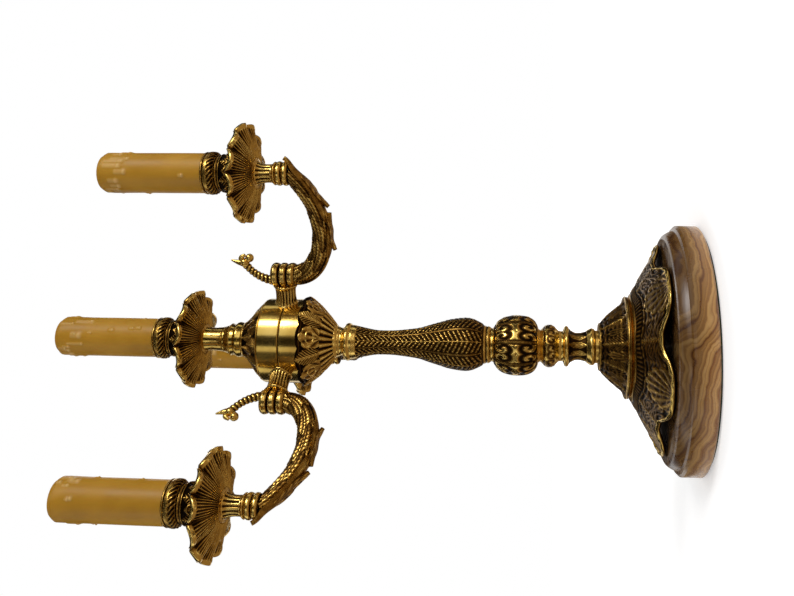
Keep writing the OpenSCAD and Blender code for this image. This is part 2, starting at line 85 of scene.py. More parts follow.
def palmette(x, y, lobes=5, spread=1.0):
    """A fan of lobes rising from the middle of the lower edge, x -1 to 1 and y 0 to 1."""
    across, up = x * spread, y + 0.12
    angle, reach = np.arctan2(across, up), np.hypot(across, up)
    lobe = np.abs(np.cos(lobes * angle))
    edge = 1.0 - 0.22 * angle ** 2 + 0.1 * lobe
    inside = ease(0, 0.07, edge - reach)
    rim = np.exp(-((edge - reach - 0.07) / 0.05) ** 2)
    return inside * np.clip(0.25 + 0.7 * lobe ** 0.7 + 0.4 * rim, 0, 1)


def acanthus(x, y, teeth=5, width=0.85):
    """A tall toothed leaf with a midrib and slanting veins."""
    body = np.sin(math.pi * np.clip(y, 0, 1) ** 0.75) ** 0.6
    half = width * body * (0.86 + 0.14 * np.abs(np.sin(teeth * math.pi * (y - 0.25 * np.abs(x)))))
    inside = ease(0, 0.14, half - np.abs(x)) * (y > 0) * (y < 1)
    veins = wave(teeth * 1.6 * (y - 0.5 * np.abs(x)))
    midrib = np.exp(-(x / 0.09) ** 2)
    return inside * np.clip(0.3 + 0.55 * veins + 0.5 * midrib, 0, 1)


def beads(u, v, count, at, half):
    x, y = cell(u, count), (v - at) / half
    return np.sqrt(np.clip(1 - x * x - y * y, 0, 1))


def band(v, low, high, soft=0.01):
    return ease(low - soft, low, v) * (1 - ease(high, high + soft, v))


def swirl(x, y, turns, tall=3.0):
    """Mirrored pairs of spiral scrolls, one above the other."""
    a, y = np.abs(x), np.abs(y % 2 - 1)
    ax, ay, bx, by = a - 0.52, (y - 0.7) * tall, a - 0.42, (y - 0.24) * tall
    first, second = np.hypot(ax, ay), np.hypot(bx, by)
    upper = wave(np.arctan2(ay, ax) / TAU + turns * first)
    lower = wave(-np.arctan2(by, bx) / TAU + turns * second)
    return np.where(first < second, upper, lower)


def straps(u, count, half=0.1):
    """Plain upright straps with a groove down each side."""
    a = 1 - np.abs(cell(u, count))
    strap = 1 - ease(half * 0.75, half, a)
    groove = np.exp(-((a - half) / (half * 0.3)) ** 2) + np.exp(-((a - half * 0.35) / (half * 0.15)) ** 2)
    return strap, np.clip(groove, 0, 1)


# ---------------------------------------------------------------- mesh building

def corner_path(points, count):
    """Smooth line through points, by length. A point given twice in a row is a sharp corner."""
    runs, run = [], [points[0]]
    for p in points[1:]:
        if p == run[-1]:
            runs.append(run)
            run = [p]
        else:
            run.append(p)
    runs.append(run)
    dense = []
    for run in runs:
        p = np.array(run, float)
        if len(p) < 3:
            dense.append(p)
            continue
        q = np.vstack([2 * p[0] - p[1], p, 2 * p[-1] - p[-2]])
        t = np.linspace(0, 1, 24, endpoint=False)[:, None]
        for i in range(1, len(q) - 2):
            a, b, c, d = q[i - 1:i + 3]
            dense.append(0.5 * (2 * b + (c - a) * t + (2 * a - 5 * b + 4 * c - d) * t ** 2 + (3 * b - a - 3 * c + d) * t ** 3))
        dense.append(p[-1:])
    line = np.vstack(dense)
    step = np.r_[0, np.cumsum(np.linalg.norm(np.diff(line, axis=0), axis=1))]
    at = np.linspace(0, step[-1], count)
    return np.stack([np.interp(at, step, line[:, k]) for k in range(line.shape[1])], 1)


class Cast:
    """Gathers closed skins into one mesh, with the relief height kept for the finish."""

    def __init__(self, name, material, slot, body="lamp", nodes=()):
        self.name, self.material, self.slot, self.body, self.nodes = name, material, slot, body, nodes
        self.points, self.faces, self.high, self.count = [], [], [], 0

    def skin(self, grid, high=1.0, loop=False):
        """grid is rows of points round the piece. loop joins the last row to the first, else both ends are capped."""
        m, n = grid.shape[:2]
        high = np.broadcast_to(np.asarray(high, float), (m, n)).ravel()
        base = self.count
        self.points.append(grid.reshape(-1, 3))
        self.high.append(high)
        rows = m if loop else m - 1
        i, k = np.meshgrid(np.arange(rows), np.arange(n), indexing="ij")
        a, b = i * n + k, i * n + (k + 1) % n
        c, d = ((i + 1) % m) * n + (k + 1) % n, ((i + 1) % m) * n + k
        self.faces.append(np.stack([a, b, c, d], -1).reshape(-1, 4) + base)
        self.count += m * n
        if not loop:
            for row, order in ((0, -1), (m - 1, 1)):
                ring = np.arange(n) + row * n + base
                self.points.append(grid[row].mean(0)[None])
                self.high.append(high[row * n:row * n + 1])
                hub = np.full(n, self.count)
                tri = np.stack([ring, np.roll(ring, -1), hub], 1)[:, ::order]
                self.faces.append(np.hstack([tri, np.full((n, 1), -1)]))
                self.count += 1

    def finish(self, angle=0.0, place=(0, 0, 0)):
        points = np.vstack(self.points)
        c, s = math.cos(math.radians(angle)), math.sin(math.radians(angle))
        points = points @ np.array([[c, s, 0], [-s, c, 0], [0, 0, 1]]) + np.array(place)
        faces = [[k for k in f if k >= 0] for f in np.vstack(self.faces).tolist()]
        mesh = bpy.data.meshes.new(self.name)
        mesh.from_pydata((points * MM).tolist(), [], faces)
        mesh.update()
        mesh.shade_smooth()
        layer = mesh.attributes.new("high", "FLOAT", "POINT")
        layer.data.foreach_set("value", np.concatenate(self.high).astype(np.float32))
        mesh.materials.append(self.material)
        piece = bpy.data.objects.new(self.name, mesh)
        bpy.context.scene.collection.objects.link(piece)
        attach(piece, self.body)
        if self.nodes:
            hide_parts(*self.nodes)
        return piece


def turn(outline, relief=None, depth=0.6, rows=120, cols=192, hole=5.4, inner=None):
    """Rows for a turned piece: its outline with relief, then its bore or the inner outline."""
    line = corner_path(outline, rows)
    slope = np.gradient(line, axis=0)
    slope /= np.linalg.norm(slope, axis=1)[:, None] + 1e-9
    u = np.linspace(0, TAU, cols, endpoint=False)[None, :]
    v = np.linspace(0, 1, rows)[:, None]
    high = np.ones((rows, cols)) if relief is None else np.broadcast_to(relief(u, v), (rows, cols))
    fade = np.clip(np.minimum(v, 1 - v) / 0.01, 0, 1)
    push = depth * (high - 1) * fade
    r = line[:, :1] + push * slope[:, 1:]
    z = line[:, 1:] - push * slope[:, :1]
    back = np.array(inner if inner else [(hole, outline[-1][1]), (hole, outline[0][1])], float)
    r = np.vstack([r, np.repeat(back[:, :1], cols, 1)])
    z = np.vstack([z, np.repeat(back[:, 1:], cols, 1)])
    high = np.vstack([high, np.full((len(back), cols), 0.3)])
    return np.stack([r * np.cos(u), r * np.sin(u), z], -1), high


def lathe(name, material, slot, nodes, outline, body="lamp", place=(0, 0, 0), angle=0.0, **how):
    cast = Cast(name, material, slot, body, nodes)
    cast.skin(*turn(outline, **how), loop=True)
    return cast.finish(angle, place)


# ---------------------------------------------------------------- finishes

def new_material(name):
    mat = bpy.data.materials.new(name)
    mat.use_nodes = True
    nodes = mat.node_tree.nodes
    return mat, nodes, mat.node_tree.links, nodes["Principled BSDF"]


def ramp(nodes, links, source, stops):
    node = nodes.new("ShaderNodeValToRGB")
    ends = node.color_ramp.elements
    while len(ends) < len(stops):
        ends.new(0.5)
    for e, (at, colour) in zip(ends, stops):
        e.position, e.color = at, (*colour, 1)
    links.new(source, node.inputs[0])
    return node.outputs[0]


def noise(nodes, links, scale, detail=4.0, stretch=(1, 1, 1), distortion=0.0):
    coords = nodes.new("ShaderNodeTexCoord")
    mapping = nodes.new("ShaderNodeMapping")
    mapping.inputs["Scale"].default_value = stretch
    tex = nodes.new("ShaderNodeTexNoise")
    tex.inputs["Scale"].default_value = scale
    tex.inputs["Detail"].default_value = detail
    tex.inputs["Distortion"].default_value = distortion
    links.new(coords.outputs["Object"], mapping.inputs[0])
    links.new(mapping.outputs[0], tex.inputs["Vector"])
    return tex.outputs["Fac"]


def maths(nodes, links, kind, a, b):
    node = nodes.new("ShaderNodeMath")
    node.operation = kind
    for socket, value in zip(node.inputs, (a, b)):
        if isinstance(value, (int, float)):
            socket.default_value = value
        else:
            links.new(value, socket)
    return node.outputs[0]


def bump(nodes, links, shader, height, strength, distance=0.0003):
    node = nodes.new("ShaderNodeBump")
    node.inputs["Strength"].default_value = strength
    node.inputs["Distance"].default_value = distance
    links.new(height, node.inputs["Height"])
    links.new(node.outputs[0], shader.inputs["Normal"])


def antique_brass(name, wear_and_painted_light=0.0):
    """Cast brass: near black in the ground of the relief, brown on the way up, gold on the tops. The wear offset shifts
    it all lighter or darker, partly as real wear and partly as painted light and shade.
    """
    mat, nodes, links, shader = new_material(name)
    attribute = nodes.new("ShaderNodeAttribute")
    attribute.attribute_name = "high"
    mottle = noise(nodes, links, 260, 6)
    speck = noise(nodes, links, 1400, 3)
    spread = maths(nodes, links, "MULTIPLY", maths(nodes, links, "SUBTRACT", mottle, 0.5), 0.55)
    grit = maths(nodes, links, "MULTIPLY", maths(nodes, links, "SUBTRACT", speck, 0.5), 0.35)
    level = maths(nodes, links, "ADD", attribute.outputs["Fac"], maths(nodes, links, "ADD", spread, grit))
    level = maths(nodes, links, "ADD", level, wear_and_painted_light)
    colour = ramp(nodes, links, level, [
        (0.0, (0.006, 0.0028, 0.0008)), (0.32, (0.024, 0.011, 0.003)), (0.58, (0.13, 0.062, 0.012)),
        (0.8, (0.42, 0.24, 0.048)), (1.0, (0.8, 0.54, 0.14))])
    links.new(colour, shader.inputs["Base Color"])
    rough = ramp(nodes, links, level, [(0.0, (0.55,) * 3), (0.5, (0.38,) * 3), (1.0, (0.2,) * 3)])
    links.new(rough, shader.inputs["Roughness"])
    shader.inputs["Metallic"].default_value = 1.0
    bump(nodes, links, shader, speck, 0.25, 0.0002)
    return mat


def polished_brass(name):
    """Turned and lacquered brass with faint lathe lines and a little tarnish."""
    mat, nodes, links, shader = new_material(name)
    tarnish = noise(nodes, links, 45, 5)
    colour = ramp(nodes, links, tarnish, [(0.3, (0.42, 0.25, 0.05)), (0.5, (0.6, 0.4, 0.09)), (0.7, (0.72, 0.5, 0.14))])
    links.new(colour, shader.inputs["Base Color"])
    lines = noise(nodes, links, 60, 3, (1, 1, 90))
    links.new(ramp(nodes, links, lines, [(0.3, (0.13,) * 3), (0.7, (0.22,) * 3)]), shader.inputs["Roughness"])
    shader.inputs["Metallic"].default_value = 1.0
    bump(nodes, links, shader, lines, 0.05, 0.0001)
    return mat


def banded_onyx(name):
    """Agate-like stone: contour bands of cream, tan and red brown that wander and fold, with painted shade that makes
    it lighter low down and darker towards the top.
    """
    mat, nodes, links, shader = new_material(name)
    coords = nodes.new("ShaderNodeTexCoord")
    z = nodes.new("ShaderNodeSeparateXYZ")
    links.new(coords.outputs["Object"], z.inputs[0])
    fold = noise(nodes, links, 10, 3, (1, 1, 1.2), 0.6)
    fine = noise(nodes, links, 70, 5, (1, 1, 1.5), 0.6)
    lift = maths(nodes, links, "MULTIPLY", z.outputs["Z"], 34.0)
    tilt = maths(nodes, links, "MULTIPLY", z.outputs["X"], 6.0)
    field = maths(nodes, links, "ADD", lift, maths(nodes, links, "MULTIPLY", fold, 1.7))
    field = maths(nodes, links, "ADD", field, tilt)
    field = maths(nodes, links, "ADD", field, maths(nodes, links, "MULTIPLY", fine, 0.14))
    contour = maths(nodes, links, "FRACT", maths(nodes, links, "MULTIPLY", field, 3.1), 0)
    thin = maths(nodes, links, "FRACT", maths(nodes, links, "MULTIPLY", field, 13.0), 0)
    broad = ramp(nodes, links, contour, [
        (0.0, (0.34, 0.205, 0.092)), (0.2, (0.25, 0.135, 0.052)), (0.3, (0.15, 0.06, 0.018)),
        (0.4, (0.33, 0.2, 0.09)), (0.66, (0.43, 0.285, 0.15)), (0.86, (0.24, 0.125, 0.046)), (1.0, (0.34, 0.205, 0.092))])
    veil = ramp(nodes, links, thin, [(0.0, (0.6, 0.5, 0.42)), (0.3, (0.95,) * 3), (0.8, (1.15, 1.12, 1.05)), (1.0, (0.6, 0.5, 0.42))])
    mix = nodes.new("ShaderNodeMix")
    mix.data_type, mix.blend_type = "RGBA", "MULTIPLY"
    mix.inputs["Factor"].default_value = 0.75
    links.new(broad, mix.inputs["A"])
    links.new(veil, mix.inputs["B"])
    # Painted shade: the stone is made lighter low down and darker towards its top, where the skirt shades it.
    height = maths(nodes, links, "ADD", maths(nodes, links, "MULTIPLY", z.outputs["Z"], 40.0), maths(nodes, links, "MULTIPLY", fold, 0.35))
    painted_shade_by_height = ramp(nodes, links, height, [(0.2, (1.25, 1.05, 0.72)), (0.55, (0.95, 0.8, 0.5)), (0.82, (0.5, 0.42, 0.26)), (1.0, (0.34, 0.28, 0.17))])
    deep = nodes.new("ShaderNodeMix")
    deep.data_type, deep.blend_type = "RGBA", "MULTIPLY"
    deep.inputs["Factor"].default_value = 1.0
    links.new(mix.outputs["Result"], deep.inputs["A"])
    links.new(painted_shade_by_height, deep.inputs["B"])
    links.new(deep.outputs["Result"], shader.inputs["Base Color"])
    links.new(ramp(nodes, links, fine, [(0.3, (0.2,) * 3), (0.7, (0.34,) * 3)]), shader.inputs["Roughness"])
    bump(nodes, links, shader, fine, 0.06)
    return mat


def candle_resin(name):
    """Amber sleeve with faint upright streaks, and paler wax where it dripped."""
    mat, nodes, links, shader = new_material(name)
    attribute = nodes.new("ShaderNodeAttribute")
    attribute.attribute_name = "high"
    streak = noise(nodes, links, 70, 4, (1, 1, 0.12))
    cloud = noise(nodes, links, 45, 3)
    amber = ramp(nodes, links, maths(nodes, links, "MULTIPLY", maths(nodes, links, "ADD", streak, cloud), 0.5), [
        (0.3, (0.27, 0.128, 0.006)), (0.5, (0.35, 0.17, 0.009)), (0.7, (0.42, 0.215, 0.018))])
    mix = nodes.new("ShaderNodeMix")
    mix.data_type = "RGBA"
    links.new(ramp(nodes, links, attribute.outputs["Fac"], [(0.15, (0.0,) * 3), (1.0, (0.45,) * 3)]), mix.inputs["Factor"])
    links.new(amber, mix.inputs["A"])
    mix.inputs["B"].default_value = (0.72, 0.5, 0.22, 1)
    links.new(mix.outputs["Result"], shader.inputs["Base Color"])
    links.new(ramp(nodes, links, cloud, [(0.3, (0.38,) * 3), (0.7, (0.52,) * 3)]), shader.inputs["Roughness"])
    shader.inputs["Specular IOR Level"].default_value = 0.22
    shader.inputs["Subsurface Weight"].default_value = 0.08
    shader.inputs["Subsurface Scale"].default_value = 0.003
    bump(nodes, links, shader, noise(nodes, links, 300, 4, (1, 1, 0.4)), 0.15)
    return mat


def plain(name, colour, rough, metallic=0.0, scale=400, strength=0.1, stretch=(1, 1, 1)):
    """A plain finish that still varies a little, with a fine surface."""
    mat, nodes, links, shader = new_material(name)
    grain = noise(nodes, links, scale, 4, stretch)
    dark, light = [tuple(c * f for c in colour) for f in (0.8, 1.1)]
    links.new(ramp(nodes, links, grain, [(0.3, dark), (0.7, light)]), shader.inputs["Base Color"])
    links.new(ramp(nodes, links, grain, [(0.3, (rough,) * 3), (0.7, (min(1, rough * 1.25),) * 3)]), shader.inputs["Roughness"])
    shader.inputs["Metallic"].default_value = metallic
    bump(nodes, links, shader, grain, strength)
    return mat


# Lighter and darker copies of one cast brass: on top of real wear and patina, the lighter copies carry painted light
# and the darker copy painted shade.
CAST = antique_brass("antique_brass")
BRIGHT = antique_brass("antique_brass_worn_and_lit", wear_and_painted_light=0.12)
DARK = antique_brass("antique_brass_dark", wear_and_painted_light=-0.17)
PAN = antique_brass("antique_brass_pan", wear_and_painted_light=0.2)
FINISH = {
    "antique_brass": CAST,
    "polished_brass": polished_brass("polished_brass"),
    "onyx": banded_onyx("banded_onyx"),
    "candle_resin": candle_resin("candle_resin"),
    "felt": plain("felt", (0.03, 0.06, 0.035), 0.95, scale=1800, strength=0.6),
    "zinc_steel": plain("zinc_steel", (0.55, 0.55, 0.52), 0.35, 1.0),
    "bush_plastic": plain("bush_plastic", (0.02, 0.02, 0.02), 0.5),
    "connector_plastic": plain("connector_plastic", (0.75, 0.75, 0.7), 0.45),
    "lead_insulation": plain("lead_insulation", (0.6, 0.55, 0.42), 0.5),
    "holder_plastic": plain("holder_plastic", (0.72, 0.69, 0.6), 0.4),
}
for part in frame["record"]["subparts"]:
    shown = frame["nodes"][part["node"]]
    for k in range(len(shown.material_slots)):
        shown.material_slots[k].material = FINISH[part["material_slot"]]

# ---------------------------------------------------------------- stem


def up(z, h, points):
    """Outline points from [radius, share of the height]; a share given twice in a row makes a corner."""
    return [(r, z + h * f) for r, f in points]


def collar_relief(u, v):
    leaves = acanthus(cell(u, 10), (v - 0.3) / 0.4, 3)
    cove = band(v, 0.3, 0.7, 0.02)
    return np.clip(1 - cove * 0.75 + cove * 0.75 * leaves, 0, 1)


def bead_relief(u, v):
    zone = band(v, 0.2, 0.8, 0.04)
    return 1 - zone * (1 - np.clip(0.35 + 0.65 * swirl(cell(u, 8), v * 0.8, 1.6), 0, 1)) * 0.9


def ball_relief(u, v):
    zone = band(v, 0.1, 0.93, 0.03)
    strap, groove = straps(u, 8, 0.16)
    lines = np.clip(0.1 + 1.0 * swirl(cell(u, 8), v * 1.05, 1.9), 0, 1)
    pattern = strap * 0.95 + (1 - strap) * lines
    return 1 - zone * (1 - pattern * (1 - 0.85 * groove))


def baluster_relief(u, v):
    zone = band(v, 0.07, 0.965, 0.006)
    x = cell(u, 6)
    a = np.abs(x)
    strap, groove = straps(u, 6, 0.12)
    feather = wave(30 * v - 1.5 * a) * (0.65 + 0.35 * wave(15 * v + 2.5 * a + 0.3))
    barbs = wave(5 * a + 1.2 * np.sin(TAU * 7 * v))
    engraved = np.clip(0.12 + 0.62 * feather + 0.4 * feather * barbs, 0, 1)
    spine = np.exp(-(x / 0.05) ** 2)
    pattern = strap * 0.9 + (1 - strap) * np.maximum(engraved, spine * 0.9)
    pattern = pattern * (1 - 0.9 * groove)
    rings = np.exp(-((v - 0.06) / 0.006) ** 2) + np.exp(-((v - 0.035) / 0.005) ** 2)
    return np.clip(1 - zone * (1 - pattern) - 0.8 * rings, 0, 1)


z, h = span_z("lower_collar")
lathe("collar_turned", CAST, "antique_brass", ["lower_collar"], up(z, h, [
    (10.9, 0), (10.9, 0.08), (10.9, 0.08), (11.9, 0.11), (12.4, 0.18), (11.5, 0.25), (10.2, 0.33), (10.2, 0.33),
    (9.3, 0.45), (9.3, 0.58), (10.9, 0.7), (10.9, 0.7), (12.6, 0.745), (13.5, 0.79), (13.5, 0.83), (12.5, 0.865),
    (12.5, 0.865), (10.2, 0.9), (10.2, 1)]), relief=collar_relief, depth=0.5, rows=150)
z, h = span_z("stem_bead")
lathe("bead_turned", CAST, "antique_brass", ["stem_bead"], up(z, h, [
    (10.2, 0), (11.1, 0.08), (11.1, 0.08), (13.4, 0.26), (14.35, 0.5), (13.4, 0.74), (11.1, 0.92), (11.1, 0.92), (10.5, 1)]),
    relief=bead_relief, depth=0.5, rows=90)
z, h = span_z("stem_ball")
lathe("ball_chased", CAST, "antique_brass", ["stem_ball"], up(z, h, [
    (10.5, 0), (11.2, 0.035), (11.2, 0.035), (14.6, 0.07), (17.8, 0.15), (19.7, 0.28), (20.25, 0.45), (19.9, 0.61),
    (18.4, 0.77), (16.1, 0.87), (13, 0.94), (13, 0.94), (11.4, 0.965), (11.2, 1)]),
    relief=ball_relief, depth=0.7, rows=200, cols=360)
z, h = span_z("baluster")
lathe("baluster_chased", CAST, "antique_brass", ["baluster"], up(z, h, [
    (11.2, 0), (12.4, 0.02), (12.6, 0.045), (12.6, 0.045), (14.2, 0.065), (15.5, 0.09), (17.5, 0.14), (18, 0.2),
    (16.7, 0.3), (14.8, 0.37), (12.8, 0.443), (10.7, 0.515), (9.6, 0.588), (8.45, 0.7), (8.3, 0.8), (8.7, 0.85),
    (9.8, 0.91), (10.9, 0.965), (10.9, 0.965), (11.6, 1)]), relief=baluster_relief, depth=0.55, rows=420, cols=420)
z, h = span_z("top_collar")
lathe("top_collar_turned", BRIGHT, "antique_brass", ["top_collar"], up(z, h, [
    (11.6, 0), (11.6, 0.12), (11.6, 0.12), (12.6, 0.25), (12.9, 0.38), (12.4, 0.5), (11.3, 0.58), (11.3, 0.58),
    (10.2, 0.66), (9.5, 0.84), (10, 1)]), rows=70)

# ---------------------------------------------------------------- foot

STONE_TOP = box_mm("marble_base")[1][2]
LOBES = 6


def bell_relief(u, v):
    leaf = np.maximum(acanthus(cell(u, 10), (v - 0.17) / 0.76, 6, 0.75),
                      0.9 * palmette(cell(u, 10, 0.5) * 1.5, (v - 0.2) / 0.6, 6, 1.2))
    curls = 0.1 + 0.6 * swirl(cell(u, 10, 0.5), v * 1.2, 2.4)
    zone = band(v, 0.16, 0.95, 0.01)
    rim = 0.5 * band(v, 0.05, 0.07, 0.006)
    return 1 - zone * (1 - np.maximum(leaf, curls)) - rim


z, h = span_z("foot_bell")
lathe("bell_cast", DARK, "antique_brass", ["foot_bell"], up(z, h, [
    (32.8, 0), (34, 0.03), (34, 0.1), (33, 0.14), (33, 0.14), (31.4, 0.16), (28.6, 0.26), (27.2, 0.36), (24.6, 0.52), (21.6, 0.7),
    (18.6, 0.86), (16.4, 0.95), (16.4, 0.95), (15.4, 1)]), relief=bell_relief, depth=1.1, rows=170, cols=420,
    inner=[(5.4, z + h), (5.4, z + h - 3), (11, z + h - 3.5), (16, z + h * 0.62), (24, z + h * 0.3), (29.5, z)])

SKIRT_Z, SKIRT_H = span_z("foot_skirt")
SKIRT_R = (32.5, 36.5, 39.5, 42.6, 46, 54.6, 62.3, 67, 70)
SKIRT_Y = (1.0, 0.9, 0.83, 0.735, 0.67, 0.45, 0.23, 0.13, 0.09)


def skirt_shell(cast, rows=150, cols=480):
    """Spreading lower casting: six lobes on the stone with arches between, and a rolled wavy rim."""
    u = np.linspace(0, TAU, cols, endpoint=False)[None, :]
    v = np.linspace(0, 1, rows)[:, None]
    lobe = np.abs(np.cos(u * LOBES / 2)) ** 1.25
    cusp = np.abs(np.cos(u * LOBES * 1.5)) ** 3 * (1 - lobe)
    rim_r = 59.2 + 10.4 * ease(0.12, 1, lobe) + 0.9 * cusp
    r = SKIRT_R[0] + (rim_r - SKIRT_R[0]) * v ** 1.06
    out = np.interp(r, SKIRT_R, SKIRT_Y) * SKIRT_H + SKIRT_Z
    ribs_zone = band(v, 0.13, 0.27, 0.008)
    ribs = wave(cell(u, 90) * 0.5 + 0.5) * 0.75 + 0.25 * wave(v * 40)
    leaf_zone = band(v, 0.3, 0.93, 0.012)
    fan = palmette(cell(u, LOBES, 0.5) * 1.35, 1 - (v - 0.3) / 0.62, 9, 1.15)
    small = acanthus(cell(u, LOBES) * 2.1, 1 - (v - 0.3) / 0.6, 5, 0.95)
    side = cell(u, 2 * LOBES, 0.0)
    curl = acanthus(side * 1.5, 1 - (v - 0.34) / 0.5, 4, 0.8) * 0.85
    dots = beads(u, v, 66, 0.325, 0.018)
    ground = 0.1 + 0.7 * swirl(cell(u, 2 * LOBES), v * 1.4, 2.6)
    leaves = np.maximum(np.maximum(np.maximum(fan, small), np.maximum(curl, dots)), ground)
    high = 1 - ribs_zone * (1 - ribs) - leaf_zone * (1 - leaves)
    high = np.clip(high - np.exp(-((v - 0.285) / 0.012) ** 2) - np.exp(-((v - 0.115) / 0.01) ** 2), 0, 1)
    roll = np.exp(-((v - 0.965) / 0.03) ** 2) * (0.75 + 0.35 * wave(u / TAU * LOBES * 9))
    z_top = out + 1.1 * (high - 1) * (v > 0.02) + 1.3 * roll
    z_top = np.maximum(z_top, STONE_TOP + 0.9)
    thick = 2.6 - 1.4 * v
    r_in = r - 1.2 * (1 - v) - 0.6
    z_in = np.maximum(out - thick, STONE_TOP + 0.02)
    r_all = np.vstack([r, r_in[::-1]])
    z_all = np.vstack([z_top, z_in[::-1]])
    # The rolled rim's extra brightness is partly rubbed wear and partly a painted highlight.
    level = np.vstack([np.clip(high + 1.2 * roll, 0, 1.2), np.full((rows, cols), 0.1)])
    cast.skin(np.stack([r_all * np.cos(u), r_all * np.sin(u), z_all], -1), level, loop=True)


skirt = Cast("skirt_cast", DARK, "antique_brass", nodes=["foot_skirt"])
skirt_shell(skirt)
skirt.finish()

# ---------------------------------------------------------------- hub

HUB_R = 28.7


def cup_relief(u, v):
    ribs = wave(cell(u, 24) * 0.5 + 0.5) ** 0.7
    low = band(v, 0.1, 0.42, 0.02)
    shells = palmette(cell(u, 6), (v - 0.44) / 0.52, 5, 1.15)
    rosette_r = np.hypot(cell(u, 6) * 2.6, (v - 0.66) * 9)
    rosette = np.exp(-(rosette_r / 0.35) ** 2) + np.exp(-((rosette_r - 0.85) / 0.2) ** 2)
    slim = acanthus(cell(u, 6, 0.5) * 1.7, (v - 0.4) / 0.6, 5, 0.9)
    high = band(v, 0.44, 1.0, 0.02)
    pattern = np.clip(np.maximum(np.maximum(shells * 0.85, slim), rosette), 0, 1)
    return np.clip(1 - low * (1 - ribs) - high * (1 - pattern), 0, 1)


def cap_relief(u, v):
    first = acanthus(cell(u, 12), (v - 0.04) / 0.62, 4, 1.0)
    second = acanthus(cell(u, 12, 0.5), (v - 0.34) / 0.6, 4, 0.9)
    zone = band(v, 0.04, 0.93, 0.01)
    return 1 - zone * (1 - np.maximum(first, second))


for node in ("hub_band_lower", "hub_band_upper"):
    z, h = span_z(node)
    r = HUB_R - 0.05
    lathe(node.replace("hub", "polished"), FINISH["polished_brass"], "polished_brass", [node], [
        (r - 1.1, z), (r - 0.5, z + 0.1), (r - 0.12, z + 0.4), (r, z + 0.9), (r, z + 0.9), (r, z + h - 0.9), (r, z + h - 0.9),
        (r - 0.12, z + h - 0.4), (r - 0.5, z + h - 0.1), (r - 1.1, z + h)], rows=80, cols=256, hole=HUB_R - 2.4)

z, h = span_z("hub_cup")
cup = Cast("hub_cup_cast", BRIGHT, "antique_brass", nodes=["hub_cup"])
grid, level = turn(up(z, h, [
    (10, 0), (10.4, 0.05), (12, 0.12), (17.1, 0.3), (21, 0.45), (24.6, 0.605), (28.4, 0.8), (30.2, 0.91), (31, 0.985), (30.6, 1.0)]),
    relief=cup_relief, depth=1.3, rows=190, cols=480,
    inner=[(HUB_R + 0.35, z + h), (HUB_R + 0.35, z + h - 2.6), (HUB_R - 3, z + h - 2.6), (14, z + h * 0.4), (9.5, z + 4), (5.4, z + 4), (5.4, z)])
tips = np.abs(np.cos(np.linspace(0, TAU, 480, endpoint=False) * 6))[None, :]
top_zone = ease(z + h * 0.86, z + h, grid[:, :, 2])
grid[:, :, 2] -= top_zone * 1.8 * (1 - tips ** 0.7)
cup.skin(grid, level, loop=True)
cup.finish()

z, h = span_z("hub_cap")
lathe("hub_cap_cast", CAST, "antique_brass", ["hub_cap"], up(z, h, [
    (27.6, 0), (28.2, 0.04), (28.2, 0.04), (26.4, 0.13), (24.2, 0.28), (20.8, 0.45), (17.5, 0.6), (14.3, 0.79),
    (12.4, 0.93), (12.4, 0.93), (11.6, 1)]), relief=cap_relief, depth=1.3, rows=170, cols=420,
    inner=[(5.4, z + h), (5.4, z + h - 4), (9, z + h - 4.5), (12, z + h * 0.5), (24.7, z)])

z, h = span_z("top_neck")
lathe("neck_turned", FINISH["polished_brass"], "polished_brass", ["top_neck"], up(z, h, [
    (11.4, 0), (11.7, 0.05), (12.1, 0.12), (11.6, 0.18), (10.6, 0.21), (10.6, 0.21), (10.5, 0.3), (11.1, 0.33), (10.2, 0.37),
    (10.2, 0.37), (9.6, 0.43), (8.5, 0.56), (7.9, 0.82), (8.3, 1)]), relief=lambda u, v: np.clip(
        1 - np.exp(-((v - 0.36) / 0.012) ** 2) - 0.8 * np.exp(-((v - 0.5) / 0.01) ** 2), 0, 1), depth=0.35, rows=130)

# ---------------------------------------------------------------- arms

SEAM_Z = box_mm("hub_band_lower")[1][2] + 0.15
TIE_X, TIE_R, TIE_H = 48.7, 8.2, 15.6
REACH = 119.5
END_Z = SEAM_Z - 7.8
DROP = 28.0
SCROLL = np.array([(TIE_X, SEAM_Z - TIE_H / 2), (TIE_X, SEAM_Z - TIE_H / 2 - DROP * 0.76),
                   (TIE_X + (REACH - TIE_X) * 0.6, SEAM_Z - TIE_H / 2 - DROP * 1.11), (REACH, END_Z + 1)])
TAIL = np.array([(TIE_X - 4.4, SEAM_Z + TIE_H / 2 - 2), (TIE_X - 3.8, SEAM_Z + TIE_H / 2 + 8),
                 (TIE_X + 1, SEAM_Z + TIE_H / 2 + 15), (TIE_X + 8.2, SEAM_Z + TIE_H / 2 + 19.4)])


def bezier(p, t):
    t = np.asarray(t)[:, None]
    return (1 - t) ** 3 * p[0] + 3 * t * (1 - t) ** 2 * p[1] + 3 * t * t * (1 - t) * p[2] + t ** 3 * p[3]


def tube(cast, line, half_high, half_wide, relief=None, depth=0.8, cols=72):
    """A capped tube along a line of (x, z) points in the arm's plane, with relief round it."""
    line = np.asarray(line)
    n = len(line)
    way = np.gradient(line, axis=0)
    way /= np.linalg.norm(way, axis=1)[:, None]
    q = np.linspace(0, TAU, cols, endpoint=False)[None, :]
    s = np.linspace(0, 1, n)[:, None]
    a = np.interp(s[:, 0], np.linspace(0, 1, len(half_high)), half_high)[:, None]
    b = np.interp(s[:, 0], np.linspace(0, 1, len(half_wide)), half_wide)[:, None]
    high = np.ones((n, cols)) if relief is None else relief(q, s)
    a, b = a + depth * (high - 1), b + depth * (high - 1)
    x = line[:, :1] - way[:, 1:] * a * np.cos(q)
    z_ = line[:, 1:] + way[:, :1] * a * np.cos(q)
    cast.skin(np.stack([x, b * np.sin(q) + 0 * x, z_], -1)[:, ::-1], high[:, ::-1])


